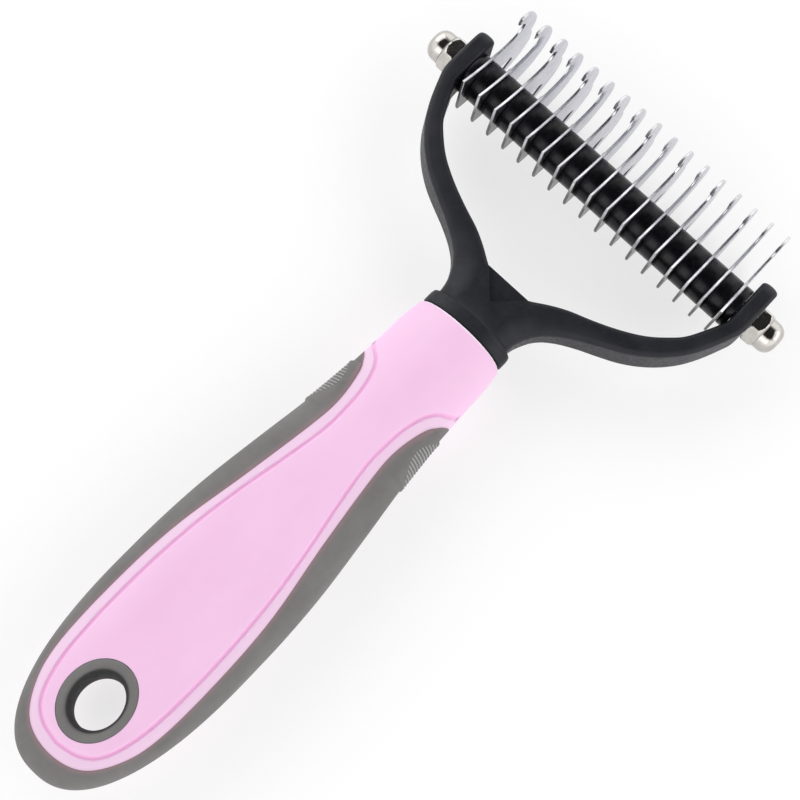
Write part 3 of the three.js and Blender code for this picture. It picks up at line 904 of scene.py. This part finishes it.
def inward(outline, distance):
    """Each point of a closed outline moved inwards by its own distance."""
    before, after = np.roll(outline, 1, axis=0), np.roll(outline, -1, axis=0)
    a = outline - before
    b = after - outline
    a /= np.linalg.norm(a, axis=1)[:, None]
    b /= np.linalg.norm(b, axis=1)[:, None]
    normal = np.stack([-(a + b)[:, 1], (a + b)[:, 0]], axis=-1)
    length = np.linalg.norm(normal, axis=1)[:, None]
    normal /= length
    miter = np.minimum(1 / np.maximum(length[:, 0] / 2, 0.3), 2.2)
    x, y = outline.T
    area = np.sum(x * np.roll(y, -1) - np.roll(x, -1) * y)
    return outline + normal * (distance * miter)[:, None] * (1 if area > 0 else -1)


def blade(number):
    """A stamped plate with bevelled edges. Odd blades are hooked on both sides, and even ones have
    a broad ground bevel inside their one hook."""
    double_sided = number % 2 == 1
    middle = (number - (BLADE_COUNT + 1) / 2) * BLADE_PITCH
    rim = blade_outline(double_sided)
    count = len(rim)
    y, z = rim.T
    cutting = (z > 4.5) & (y > 5) & (y < 13.4) & (z < 11.6)
    ground = cutting & (not double_sided)
    bevel_width = np.where(ground, 0.9, 0.13)
    bevel_depth = np.where(ground, 0.27, 0.13)
    cut_in = inward(rim, bevel_width)
    bore_steps = 40
    angles = np.linspace(0, 2 * math.pi, bore_steps, endpoint=False)
    bore = np.stack([BORE_RADIUS * np.cos(angles), BORE_RADIUS * np.sin(angles)], axis=-1)
    half = BLADE_THICKNESS / 2
    flat = [[Vector((*p, 0)) for p in cut_in], [Vector((*p, 0)) for p in bore]]
    triangles = tessellate_polygon(flat)
    points, faces = [], []
    for side in (1, -1):
        base = len(points)
        points += [(middle + side * half, *p) for p in cut_in]
        points += [(middle + side * half, *p) for p in bore]
        points += [(middle + side * (half - depth), *p) for p, depth in zip(rim, bevel_depth)]
        faces += [tuple(base + v for v in t) for t in triangles]
        ring = base + count + bore_steps
        for i in range(count):
            j = (i + 1) % count
            faces.append((base + i, base + j, ring + j, ring + i))
    across = count + bore_steps + count
    for i in range(count):
        j = (i + 1) % count
        faces.append((count + bore_steps + i, count + bore_steps + j,
                      across + count + bore_steps + j, across + count + bore_steps + i))
    for i in range(bore_steps):
        j = (i + 1) % bore_steps
        faces.append((count + i, count + j, across + count + j, across + count + i))
    name = f"blade_{number:02d}"
    # where the steel is painted brighter: ground edges, partly polish and partly painted highlight
    edges = np.tile([0.0] * (count + bore_steps) + [1.0] * count, 2)
    return piece(f"steel_{name}", points, faces, STEEL, name,
                 weld=0.0005, sharp_angle=18, marks={"edge": edges})


# ------------------------------------------------------------------ spacers, rod and nuts


def spacer(name, low, high):
    r, b, e = SPACER_RADIUS, BORE_RADIUS, 0.22
    section = [(b, low), (r - e, low), (r - 0.3 * e, low + 0.3 * e), (r, low + e), (r, high - e),
               (r - 0.3 * e, high - 0.3 * e), (r - e, high), (b, high)]
    points, faces = lathe(section, 72)
    return piece(f"ring_{name}", along_axle(points), faces, GLOSS, name)


def rod():
    end = NUT_SEAT + ROD_IN_NUT
    r, chamfer = ROD_RADIUS, 0.6
    section = [(0.0, -end), (r - chamfer, -end), (r, -end + chamfer),
               (r, end - chamfer), (r - chamfer, end), (0.0, end)]
    points, faces = lathe(section, 48)
    return piece("steel_axle", along_axle(points), faces, STEEL, "axle_rod")


def acorn_nut(name, side):
    """A hexagon with chamfered corners under a dome. side is -1 for the left end and 1 for the right."""
    corner = NUT_ACROSS_FLATS / math.sqrt(3)
    segments = 192
    angles = np.linspace(0, 2 * math.pi, segments, endpoint=False)
    from_flat = np.abs(angles % (math.pi / 3) - math.pi / 6)
    hexagon = NUT_ACROSS_FLATS / 2 / np.cos(from_flat)
    rings = []
    shoulder = 1.8                      # beyond this the corners are turned down
    for x, limit in ((0.0, corner - 0.45), (0.12, corner - 0.2), (0.35, corner), (shoulder, corner)):
        rings.append((x, np.minimum(hexagon, limit)))
    for t in np.linspace(0, 1, 9):
        x = shoulder + (NUT_HEX_HEIGHT - shoulder) * t
        rings.append((x, np.minimum(hexagon, corner + 0.02 - 0.85 * t**1.5)))
    rings.append((NUT_HEX_HEIGHT + 0.04, np.full(segments, DOME_RADIUS + 0.1)))
    rings.append((NUT_HEX_HEIGHT + 0.14, np.full(segments, DOME_RADIUS)))
    for t in np.linspace(0, 1, 18)[:-1]:
        a = t * math.pi / 2
        x = DOME_START + (NUT_HEIGHT - DOME_START) * math.sin(a)
        rings.append((x, np.full(segments, DOME_RADIUS * math.cos(a) ** 0.64)))
    rings.append((NUT_HEIGHT, np.zeros(segments)))
    inner = [(NUT_BORE_DEPTH, 0.0), (NUT_BORE_DEPTH, BORE_RADIUS), (0.25, BORE_RADIUS),
             (0.0, BORE_RADIUS + 0.25)]
    rings = [(x, np.full(segments, r)) for x, r in inner] + rings
    points = []
    for x, radius in rings:
        for a, r in zip(angles, radius):
            points.append((side * (NUT_SEAT + x), r * math.cos(a), r * math.sin(a)))
    faces = grid_faces(len(rings), segments, wrap=True)
    return piece(f"nickel_{name}", points, faces, NICKEL, name,
                 weld=0.0005, sharp_angle=24)


# ------------------------------------------------------------------ assembly

handle_shell()
grip()
hole_liner()
fork()
rod()
acorn_nut("acorn_nut_left", -1)
acorn_nut("acorn_nut_right", 1)
for number in range(1, BLADE_COUNT + 1):
    blade(number)
half_stack = BLADE_THICKNESS / 2 + STACK_PLAY
for number in range(1, BLADE_COUNT):
    left = (number - (BLADE_COUNT + 1) / 2) * BLADE_PITCH
    spacer(f"spacer_{number:02d}", left + half_stack, left + BLADE_PITCH - half_stack)
last = (BLADE_COUNT - 1) / 2 * BLADE_PITCH + half_stack
spacer("end_spacer_left", -EAR_INSIDE + STACK_PLAY, -last)
spacer("end_spacer_right", last, EAR_INSIDE - STACK_PLAY)

# ------------------------------------------------------------------ floor, light, camera


def floor():
    bpy.ops.mesh.primitive_plane_add(size=6, location=(0, 0, -0.0005))
    plane = bpy.context.object
    plane.name = "floor"
    paper = Surface("floor_paper", (0.33, 0.33, 0.33), 0.9)
    paper.shader.inputs["Emission Color"].default_value = (1, 1, 1, 1)
    paper.shader.inputs["Emission Strength"].default_value = 0.67
    paper.bump(paper.noise(0.8, (1, 1, 1), 2), 0.004)
    plane.data.materials.append(paper.material)


def softbox(name, location, size, power):
    """A rectangular lamp that faces the middle of the floor."""
    data = bpy.data.lights.new(name, "AREA")
    data.shape = "RECTANGLE"
    data.size, data.size_y = size
    data.energy = power
    lamp = bpy.data.objects.new(name, data)
    bpy.context.scene.collection.objects.link(lamp)
    lamp.location = location
    lamp.rotation_mode = "QUATERNION"
    lamp.rotation_quaternion = (-Vector(location)).to_track_quat("-Z", "Y")


def studio():
    """A light tent: bright all round, and dark overhead where it is open for the camera."""
    world = bpy.data.worlds.new("studio")
    bpy.context.scene.world = world
    world.use_nodes = True
    nodes = world.node_tree.nodes
    links = world.node_tree.links
    heading = nodes.new("ShaderNodeTexCoord").outputs["Generated"]
    height = nodes.new("ShaderNodeSeparateXYZ")
    links.new(heading, height.inputs["Vector"])
    wall = nodes.new("ShaderNodeMapRange")
    wall.interpolation_type = "SMOOTHSTEP"
    wall.inputs["From Min"].default_value = 0.55
    wall.inputs["From Max"].default_value = 0.85
    wall.inputs["To Min"].default_value = 1.4
    wall.inputs["To Max"].default_value = 0.03
    links.new(height.outputs["Z"], wall.inputs["Value"])
    links.new(wall.outputs["Result"], nodes["Background"].inputs["Strength"])
    nodes["Background"].inputs["Color"].default_value = (1, 1, 1, 1)
    softbox("left", (-0.9, 0.35, 0.75), (1.2, 1.0), 4.6)
    softbox("right", (0.85, 0.5, 0.8), (1.2, 1.0), 3.6)
    softbox("front", (0.1, -1.0, 0.7), (1.2, 0.9), 2.4)


def camera():
    """Looks down on the upper face, with the handle running from bottom left to top right."""
    data = bpy.data.cameras.new("camera")
    data.sensor_width = 36
    data.lens = 36 * 1700 / 800
    data.clip_start, data.clip_end = 0.01, 10
    cam = bpy.data.objects.new("camera", data)
    bpy.context.scene.collection.objects.link(cam)
    right = Vector((0.72991, 0.67691, 0.09229))
    up = Vector((-0.67508, 0.69264, 0.25273))
    back = Vector((0.10715, -0.24678, 0.96254))
    turn = Matrix((right, up, back)).transposed().to_4x4()
    place = AXLE + Vector((38.42, -153.46, 341.62)) * MM
    cam.matrix_world = Matrix.Translation(place) @ turn
    bpy.context.scene.camera = cam


floor()
studio()
camera()
bpy.context.scene.view_settings.view_transform = "Standard"
